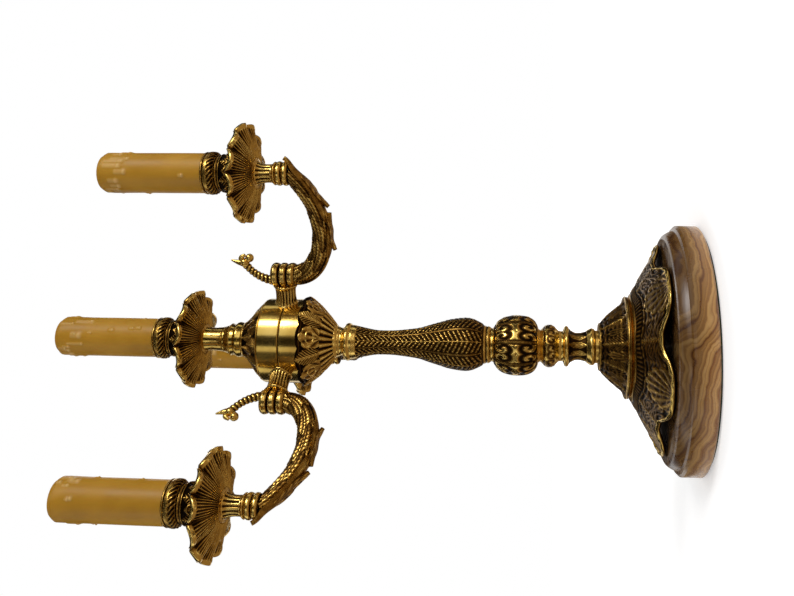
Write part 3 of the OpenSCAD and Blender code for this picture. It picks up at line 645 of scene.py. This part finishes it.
def scroll_relief(q, s):
    """Feathered body: a smooth spine on the outer curve, with lobes and veins slanting back from it."""
    aside = np.abs(q - math.pi) / math.pi
    y = (5 * s - 0.75 * aside + 0.35 * np.cos(5 * math.pi * aside) * 0.5) % 1
    body = (0.45 + 0.55 * y) * (1 - ease(0.93, 1.0, y))
    veins = wave(6.5 * aside * (1.25 - 0.35 * y) + 0.6 * y)
    barbs = wave(34 * s - 4 * aside)
    spine = np.exp(-(aside / 0.1) ** 2)
    groove = np.exp(-((aside - 0.19) / 0.04) ** 2)
    leafy = body * (0.4 + 0.5 * veins + 0.25 * barbs)
    return np.clip(np.maximum(leafy, spine) - 0.8 * groove, 0, 1)


def rope_relief(q, s):
    return np.clip(0.2 + 0.8 * wave(9 * s + q / TAU) ** 0.7, 0, 1)


def leaf(cast, line, widths, thick=1.5, lift=0.0, veins=6, cup=0.25):
    """A long leaf laid on the arm: a line of (x, z) points, its half widths, and ribs along it."""
    line = corner_path([tuple(p) for p in line], 60)
    way = np.gradient(line, axis=0)
    way /= np.linalg.norm(way, axis=1)[:, None]
    normal = np.stack([-way[:, 1], way[:, 0]], 1)
    s = np.linspace(0, 1, 60)
    half = np.interp(s, np.linspace(0, 1, len(widths)), widths) * (0.95 + 0.05 * np.abs(np.sin(s * math.pi * veins)))
    c = np.linspace(-1, 1, 25)
    y = half[:, None] * c[None, :]
    ribs = 0.5 * wave(c[None, :] * 2.5 + 0 * s[:, None]) + 0.5 * wave(veins * s[:, None] - 0.8 * np.abs(c)[None, :])
    high = np.clip(0.25 + 0.75 * ribs + np.exp(-(c[None, :] / 0.12) ** 2), 0, 1)
    bend = cup * half[:, None] * c[None, :] ** 2
    top = thick / 2 * (1 - c[None, :] ** 4) + 0.35 * (high - 1) - bend + lift
    low = -thick / 2 * (1 - c[None, :] ** 4) - bend + lift
    def place(d):
        return np.stack([line[:, :1] + normal[:, :1] * d, y, line[:, 1:] + normal[:, 1:] * d], -1)
    ring = np.concatenate([place(top), place(low)[:, ::-1]], 1)
    level = np.concatenate([high, np.full_like(high, 0.6)], 1)
    cast.skin(ring, level)


def knob(cast, x, z0, r, squash=1.0):
    line = [(0.05, -r * squash), (r * 0.7, -r * 0.7 * squash), (r, 0), (r * 0.7, r * 0.7 * squash), (0.05, r * squash)]
    grid, level = turn(line, rows=24, cols=32, hole=0.02)
    grid[:, :, 0] += x
    grid[:, :, 2] += z0
    cast.skin(grid, level, loop=True)


def rings(cast, x, z0, z1, count, r, waist, lines=0):
    """A stack of rounded rings about an upright axis."""
    pitch = (z1 - z0) / count
    points = [(0.3, z0)]
    for k in range(count):
        b = z0 + k * pitch
        points += [(waist, b), (waist, b), (r - 0.5, b + pitch * 0.16), (r, b + pitch * 0.5), (r - 0.5, b + pitch * 0.84), (waist, b + pitch), (waist, b + pitch)]
    points += [(0.3, z1)]
    relief = (lambda u, v: 0.75 + 0.25 * wave(v * lines)) if lines else None
    grid, level = turn(points, relief=relief, depth=0.5, rows=40 * count, cols=96, hole=0.2)
    shade = ease(waist, r, np.hypot(grid[:, :, 0], grid[:, :, 1]))
    grid[:, :, 0] += x
    cast.skin(grid, np.clip(level * (0.15 + 0.85 * shade), 0, 1), loop=True)


for i in (1, 2, 3):
    angle = ARM_ANGLES[i]
    arm = Cast("arm_cast_%d" % i, BRIGHT, "antique_brass", nodes=["arm_%d" % i])
    t = np.linspace(0, 1, 200)
    tube(arm, bezier(SCROLL, t), (7.4, 7.5, 7.2, 6.8, 6.2, 5.6, 5.0), (6.6, 6.5, 6.2, 5.8, 5.5, 5.2, 4.8), scroll_relief, 1.1, 96)
    tube(arm, bezier(TAIL, np.linspace(0, 1, 110)), (3.6, 3.1, 2.8, 2.6, 3.0), (3.4, 3.0, 2.6, 2.4, 2.8), rope_relief, 0.6, 40)
    rings(arm, TIE_X, SEAM_Z - TIE_H / 2 - 0.6, SEAM_Z + TIE_H / 2 + 0.6, 3, TIE_R, TIE_R - 2.0, 15)
    rings(arm, REACH, END_Z - 0.6, END_Z + 8, 2, 8.1, 6.4)
    head = TAIL[3]
    knob(arm, head[0], head[1], 3.1)
    knob(arm, head[0] + 3.4, head[1] - 3.6, 3.0)
    tube(arm, corner_path([(head[0] - 0.4, head[1]), (head[0] + 0.2, head[1] + 4), (head[0] + 1.8, head[1] + 9.2)], 30),
         (2.6, 1.7, 0.5), (2.4, 1.6, 0.5), None, 0, 24)
    tube(arm, corner_path([(head[0] + 1, head[1] + 2), (head[0] + 3.4, head[1] + 2.2), (head[0] + 5.6, head[1] - 0.6)], 24),
         (1.6, 1.8, 1.0), (1.5, 1.6, 0.8), None, 0, 20)
    # leaves follow the scroll at a set distance from its middle; outer is below, inner above
    def along(t0, t1, off0, off1, n=7):
        tt = np.linspace(t0, t1, n)
        p = bezier(SCROLL, tt)
        g = np.gradient(bezier(SCROLL, tt), axis=0)
        g /= np.linalg.norm(g, axis=1)[:, None]
        return p + np.stack([-g[:, 1], g[:, 0]], 1) * np.linspace(off0, off1, n)[:, None]
    outer = list(along(0.6, 0.99, -5.4, -5.2)) + [np.array((REACH + 8.5, END_Z + 0.2)), np.array((REACH + 10.6, END_Z + 2.6))]
    leaf(arm, outer, (1.0, 4.8, 5.6, 5.8, 5.4, 4.8, 4.4, 3.2, 1.0), 3.0, 0, 8, -0.3)
    spur = list(along(0.34, 0.6, -5.6, -6.4, 5)) + [along(0.66, 0.69, -8.0, -8.4, 2)[1]]
    leaf(arm, spur, (1.0, 4.6, 5.6, 5.2, 3.8, 1.0), 3.0, 0, 6, -0.3)
    inner = list(along(0.97, 0.8, 4.9, 5.4, 5)) + [along(0.74, 0.72, 8.2, 9.4, 2)[1]]
    leaf(arm, inner, (1.0, 4.0, 4.6, 4.4, 3.4, 1.2), 2.8, 0, 5, -0.25)
    back = list(along(0.72, 0.5, 5.4, 6.2, 5)) + [along(0.46, 0.44, 9.2, 9.8, 2)[1]]
    leaf(arm, back, (1.0, 4.4, 5.0, 4.8, 3.6, 1.2), 2.8, 0, 5, -0.25)
    arm.finish(angle)

    boss = Cast("boss_cast_%d" % i, BRIGHT, "antique_brass", nodes=["arm_boss_%d" % i])
    x0, x1 = HUB_R - 0.6, TIE_X - TIE_R + 1.2
    m, n = 40, 144
    q = np.linspace(0, TAU, n, endpoint=False)[None, :]
    s = np.linspace(0, 1, m)[:, None]
    flutes = np.abs(np.cos(q * 9)) ** 0.6
    collar = np.maximum(np.exp(-((s - 0.93) / 0.07) ** 2), np.exp(-((s - 0.03) / 0.06) ** 2))
    level = np.maximum(flutes, collar)
    square = 1 + 0.05 * np.cos(4 * q)
    radius = (7.1 - 0.5 * np.sin(math.pi * s) + 0.8 * collar + 0.95 * (level - 1)) * square
    x = x0 + (x1 - x0) * s - 0 * q
    curve_in = np.sqrt(np.clip(HUB_R ** 2 - (radius * np.sin(q)) ** 2, 0, None)) - HUB_R
    x = x + curve_in * (1 - s)
    boss.skin(np.stack([x, radius * np.sin(q), SEAM_Z + radius * np.cos(q)], -1)[:, ::-1], level[:, ::-1])
    boss.finish(angle)

# ---------------------------------------------------------------- lights

PAN_R, PAN_T = 33.8, 1.7
PETALS = 12
PAN_LINE = ((8.2, 0), (12.2, 0.09), (20.3, 0.3), (27, 0.58), (31.4, 0.78), (33.8, 0.88))


def drip_pan(name, node, place, height):
    rows, cols = 90, 768
    u = np.linspace(0, TAU, cols, endpoint=False)[None, :]
    v = np.linspace(0, 1, rows)[:, None]
    petal = np.abs(np.cos(u * PETALS / 2)) ** 0.45
    edge = PAN_R * (1 - 0.11 * (1 - petal))
    r = 5.4 + (edge - 5.4) * v
    line = np.array(PAN_LINE)
    under = np.interp(r, line[:, 0], line[:, 1]) * height
    lean = cell(u, PETALS, 0.5)
    rib = wave(cell(u, 84) * 0.5 + 0.5 + 0.9 * lean * np.abs(lean) * v ** 2)
    ribs = rib ** 1.4 * band(v, 0.2, 0.88, 0.04)
    lip = ease(0.86, 0.95, v)
    notch = (1 - petal) * ease(0.55, 1, v)
    # The rolled lip's brightness is partly rubbed wear and partly a painted highlight.
    level = np.clip(np.where(v < 0.17, 0.75, 0.2 + 0.7 * ribs) + lip - 1.1 * notch, 0, 1.1)
    dish = ease(0.45, 1, v) * (1.5 - 2.5 * petal ** 2)
    low = under + dish * 1.7 + 0.8 * (1 - rib) * band(v, 0.2, 0.88, 0.04) - 0.5 * lip * petal + 0.8 * notch
    high = low + PAN_T + 0.8 * lip * petal + 0.3 * (1 - lip)
    high = np.minimum(high, height + 1.8)
    low = np.maximum(np.minimum(low, high - 0.6), 0)
    r_all = np.vstack([r, r[::-1] - 0.25 * (v[::-1] > 0.98)])
    z_all = np.vstack([low, high[::-1]])
    cast = Cast(name, PAN, "antique_brass", nodes=[node])
    cast.skin(np.stack([r_all * np.cos(u), r_all * np.sin(u), z_all], -1), np.vstack([level, level[::-1]]), loop=True)
    cast.finish(0, place)


def candle_cup_relief(u, v):
    body = band(v, 0.16, 0.6, 0.02)
    x = cell(u, 6)
    rose = np.hypot(x * 2.2, (v - 0.42) * 11)
    flower = np.exp(-(rose / 0.35) ** 2) + wave(rose * 1.1) * (rose < 1.3)
    leaves = acanthus(cell(u, 6, 0.5), (v - 0.16) / 0.44, 4, 0.95)
    fan = palmette(x * 1.2, (v - 0.16) / 0.42, 4, 1.1) * 0.8
    pattern = np.clip(np.maximum(np.maximum(leaves, fan), flower), 0, 1)
    ring = band(v, 0.73, 0.86, 0.008)
    rope = 0.35 + 0.65 * wave(cell(u, 26) * 0.5 + v * 9)
    grooves = np.exp(-((v - 0.66) / 0.018) ** 2) + np.exp(-((v - 0.71) / 0.008) ** 2)
    return np.clip(1 - body * (1 - pattern) - ring * (1 - rope) - 0.9 * grooves, 0, 1)


def wax_relief(drips):
    def relief(u, v):
        total = 0.12 * (1 + np.sin(5 * u + 9 * v)) * ease(0.6, 0.97, v)
        for at, top, length, wide in drips:
            across = (np.angle(np.exp(1j * (u - at))) / wide) ** 2
            run = ease(top - length, top - length + 0.02, v) * (1 - ease(top, top + 0.03, v))
            bead = np.exp(-((v - (top - length)) / (wide * 0.17)) ** 2)
            total = np.maximum(total, np.exp(-across ** 1.4) * np.maximum(0.55 * run, bead))
        return np.clip(total, 0, 1)
    return relief


for i, angle in enumerate(ARM_ANGLES):
    reach = 0 if i == 0 else REACH
    px, py = reach * math.cos(math.radians(angle)), reach * math.sin(math.radians(angle))
    seat, pan_h = span_z("drip_pan_%d" % i)
    drip_pan("pan_cast_%d" % i, "drip_pan_%d" % i, (px, py, seat), pan_h - 0.3)
    if i:
        z, h = span_z("arm_spool_%d" % i)
        lathe("spool_cast_%d" % i, BRIGHT, "antique_brass", ["arm_spool_%d" % i], [
            (7.2, z), (7.8, z + 0.7), (7.2, z + 1.6), (6.3, z + 2.2), (6.3, z + 2.2), (6.2, z + h * 0.5), (6.9, z + h * 0.8), (8.2, z + h)],
            relief=lambda u, v: np.clip(1 - band(v, 0.3, 0.93, 0.03) * (1 - wave(cell(u, 14) * 0.5 + 0.5) ** 0.6), 0, 1),
            depth=0.6, rows=70, place=(px, py, 0))
    z, h = span_z("candle_cup_%d" % i)
    lathe("cup_cast_%d" % i, DARK, "antique_brass", ["candle_cup_%d" % i], up(z, h, [
        (8.6, 0), (8.6, 0.04), (8.6, 0.04), (8, 0.1), (9.8, 0.24), (12, 0.38), (13.4, 0.52), (12.9, 0.63), (11.8, 0.7),
        (11.8, 0.7), (12.6, 0.74), (14.1, 0.79), (14.4, 0.86), (14.1, 0.93), (13.5, 0.955), (13.5, 0.955), (14.1, 0.975), (13.9, 1)]),
        relief=candle_cup_relief, depth=1.0, rows=200, cols=300, place=(px, py, 0), angle=angle + 20,
        inner=[(13.8, z + h), (13.8, z + h - 4.5), (10.1, z + h - 4.5), (10.1, z + h * 0.45), (5.2, z + h * 0.45), (5.2, z)])
    z, h = span_z("candle_sleeve_%d" % i)
    drips = [(rng.uniform(0, TAU), rng.uniform(0.8, 0.96), rng.uniform(0.01, 0.2) * rng.uniform(0.2, 1), rng.uniform(0.07, 0.17))
             for _ in range(22)] + [(rng.uniform(0, TAU), rng.uniform(0.2, 0.7), 0.02, rng.uniform(0.05, 0.1)) for _ in range(6)]
    lathe("sleeve_wax_%d" % i, FINISH["candle_resin"], "candle_resin", ["candle_sleeve_%d" % i], [
        (14.2, z), (14.2, z), (14.25, z + h * 0.3), (14.2, z + h * 0.7), (14.2, z + h - 5), (13.7, z + h - 2.4), (12.8, z + h - 0.8), (11.4, z + h - 0.1)],
        body=SLEEVE_BODIES[i], relief=wax_relief(drips), depth=0.85, rows=300, cols=320, place=(px, py, 0),
        inner=[(10.6, z + h - 0.6), (10.5, z + h - 2.4), (12.1, z + h - 3), (12.1, z)])

# ---------------------------------------------------------------- studio

floor_mat, nodes, links, shader = new_material("floor")
shader.inputs["Base Color"].default_value = (0.8, 0.8, 0.8, 1)
shader.inputs["Roughness"].default_value = 0.9
path = nodes.new("ShaderNodeLightPath")
seen = maths(nodes, links, "MAXIMUM", path.outputs["Is Camera Ray"],
             maths(nodes, links, "MAXIMUM", path.outputs["Is Glossy Ray"], path.outputs["Is Transmission Ray"]))
shader.inputs["Emission Color"].default_value = (1, 1, 1, 1)
coords = nodes.new("ShaderNodeTexCoord")
away = nodes.new("ShaderNodeVectorMath")
away.operation = "LENGTH"
links.new(coords.outputs["Object"], away.inputs[0])
fade = ramp(nodes, links, away.outputs["Value"], [(0.16, (0.4,) * 3), (0.75, (1.0,) * 3)])
links.new(maths(nodes, links, "MULTIPLY", seen, fade), shader.inputs["Emission Strength"])
floor_mesh = bpy.data.meshes.new("floor")
floor_mesh.from_pydata([(-6, -6, 0), (6, -6, 0), (6, 6, 0), (-6, 6, 0)], [], [(0, 1, 2, 3)])
floor_mesh.materials.append(floor_mat)
floor = bpy.data.objects.new("floor", floor_mesh)
bpy.context.scene.collection.objects.link(floor)

world = bpy.data.worlds.new("studio")
world.use_nodes = True
bpy.context.scene.world = world
tree = world.node_tree
back = tree.nodes["Background"]
path = tree.nodes.new("ShaderNodeLightPath")
seen = maths(tree.nodes, tree.links, "MAXIMUM", path.outputs["Is Camera Ray"],
             maths(tree.nodes, tree.links, "MAXIMUM", path.outputs["Is Glossy Ray"], path.outputs["Is Transmission Ray"]))
back.inputs["Color"].default_value = (1, 1, 1, 1)
tree.links.new(maths(tree.nodes, tree.links, "ADD", maths(tree.nodes, tree.links, "MULTIPLY", seen, 0.55), 0.45), back.inputs["Strength"])


def softbox(name, place, aim, size, power):
    data = bpy.data.lights.new(name, "AREA")
    data.shape, data.size, data.size_y, data.energy = "RECTANGLE", size[0], size[1], power
    lamp = bpy.data.objects.new(name, data)
    bpy.context.scene.collection.objects.link(lamp)
    away = np.array(place) - np.array(aim)
    axis_z = away / np.linalg.norm(away)
    axis_x = np.cross((0, 0, 1), axis_z)
    axis_x /= np.linalg.norm(axis_x)
    axis_y = np.cross(axis_z, axis_x)
    lamp.matrix_world = Matrix([[axis_x[k], axis_y[k], axis_z[k], place[k]] for k in range(3)] + [[0, 0, 0, 1]])


MIDDLE = (0, 0, 0.22)
softbox("key", (1.3, -1.3, 1.1), MIDDLE, (0.7, 0.9), 22)
softbox("fill", (-1.6, -0.9, 0.7), MIDDLE, (0.9, 0.9), 7)
softbox("rim", (0.2, 1.7, 1.3), MIDDLE, (0.9, 0.6), 9)


def dark_card(name, corners, material):
    """A dark card that only shows in reflections, as in a studio for metalware."""
    mesh = bpy.data.meshes.new(name)
    mesh.from_pydata(corners, [], [(0, 1, 2, 3)])
    mesh.materials.append(material)
    card = bpy.data.objects.new(name, mesh)
    bpy.context.scene.collection.objects.link(card)
    for flag in ("visible_camera", "visible_diffuse", "visible_shadow", "visible_transmission"):
        setattr(card, flag, False)


CARD = plain("card", (0.02, 0.016, 0.012), 0.9)
for k, (azimuth, width) in enumerate(((-98, 0.8), (-150, 1.3), (-20, 1.15), (35, 1.3), (90, 1.0), (145, 1.2))):
    a = math.radians(azimuth)
    cx, cy, sx, sy = 1.5 * math.cos(a), 1.5 * math.sin(a), -math.sin(a) * width / 2, math.cos(a) * width / 2
    dark_card("card_%d" % k, [(cx - sx, cy - sy, 0), (cx + sx, cy + sy, 0), (cx + sx, cy + sy, 3.2), (cx - sx, cy - sy, 3.2)], CARD)
dark_card("card_over", [(-0.9, -0.5, 2.4), (0.9, -0.5, 2.4), (0.9, 1.3, 2.4), (-0.9, 1.3, 2.4)], CARD)
dark_card("card_front", [(-1.6, -1.7, 1.5), (1.6, -1.7, 1.5), (1.6, -0.7, 2.4), (-1.6, -0.7, 2.4)], CARD)
FLOOR_CARD = plain("floor_card", (0.36, 0.25, 0.15), 0.9)
for k in range(4):
    c, t = math.cos(k * math.pi / 2), math.sin(k * math.pi / 2)
    dark_card("floor_card_%d" % k, [(x * c - y * t, x * t + y * c, 0.0015) for x, y in ((0.1, -0.1), (1.5, -1.5), (1.5, 1.5), (0.1, 0.1))], FLOOR_CARD)

# The camera was placed by fitting the lamp's known circles; the picture lies on its side.
TURN, PITCH, ROLL = 0.2675, 0.0849, -0.0055
FOCAL_PX, WIDE = 853.4, 794
EYE = np.array((104.8, -581.5, 104.8)) * MM
spin = np.array([[math.cos(TURN), math.sin(TURN), 0], [-math.sin(TURN), math.cos(TURN), 0], [0, 0, 1]])
right = np.array((1.0, 0, 0))
ahead = np.array((0, math.cos(PITCH), math.sin(PITCH)))
upward = np.array((0, -math.sin(PITCH), math.cos(PITCH)))
image_up = right * math.cos(ROLL) - upward * math.sin(ROLL)
image_right = -(right * math.sin(ROLL) + upward * math.cos(ROLL))
columns = [spin @ v for v in (image_right, image_up, -ahead)] + [spin @ EYE]
lens = bpy.data.cameras.new("camera")
lens.sensor_width = 36
lens.lens = FOCAL_PX / WIDE * 36
lens.shift_x, lens.shift_y = -72.3 / WIDE, -107.1 / WIDE
camera = bpy.data.objects.new("camera", lens)
camera.matrix_world = Matrix([[c[k] for c in columns] for k in range(3)] + [[0, 0, 0, 1]])
bpy.context.scene.collection.objects.link(camera)
bpy.context.scene.camera = camera
bpy.context.scene.view_settings.view_transform = "Standard"
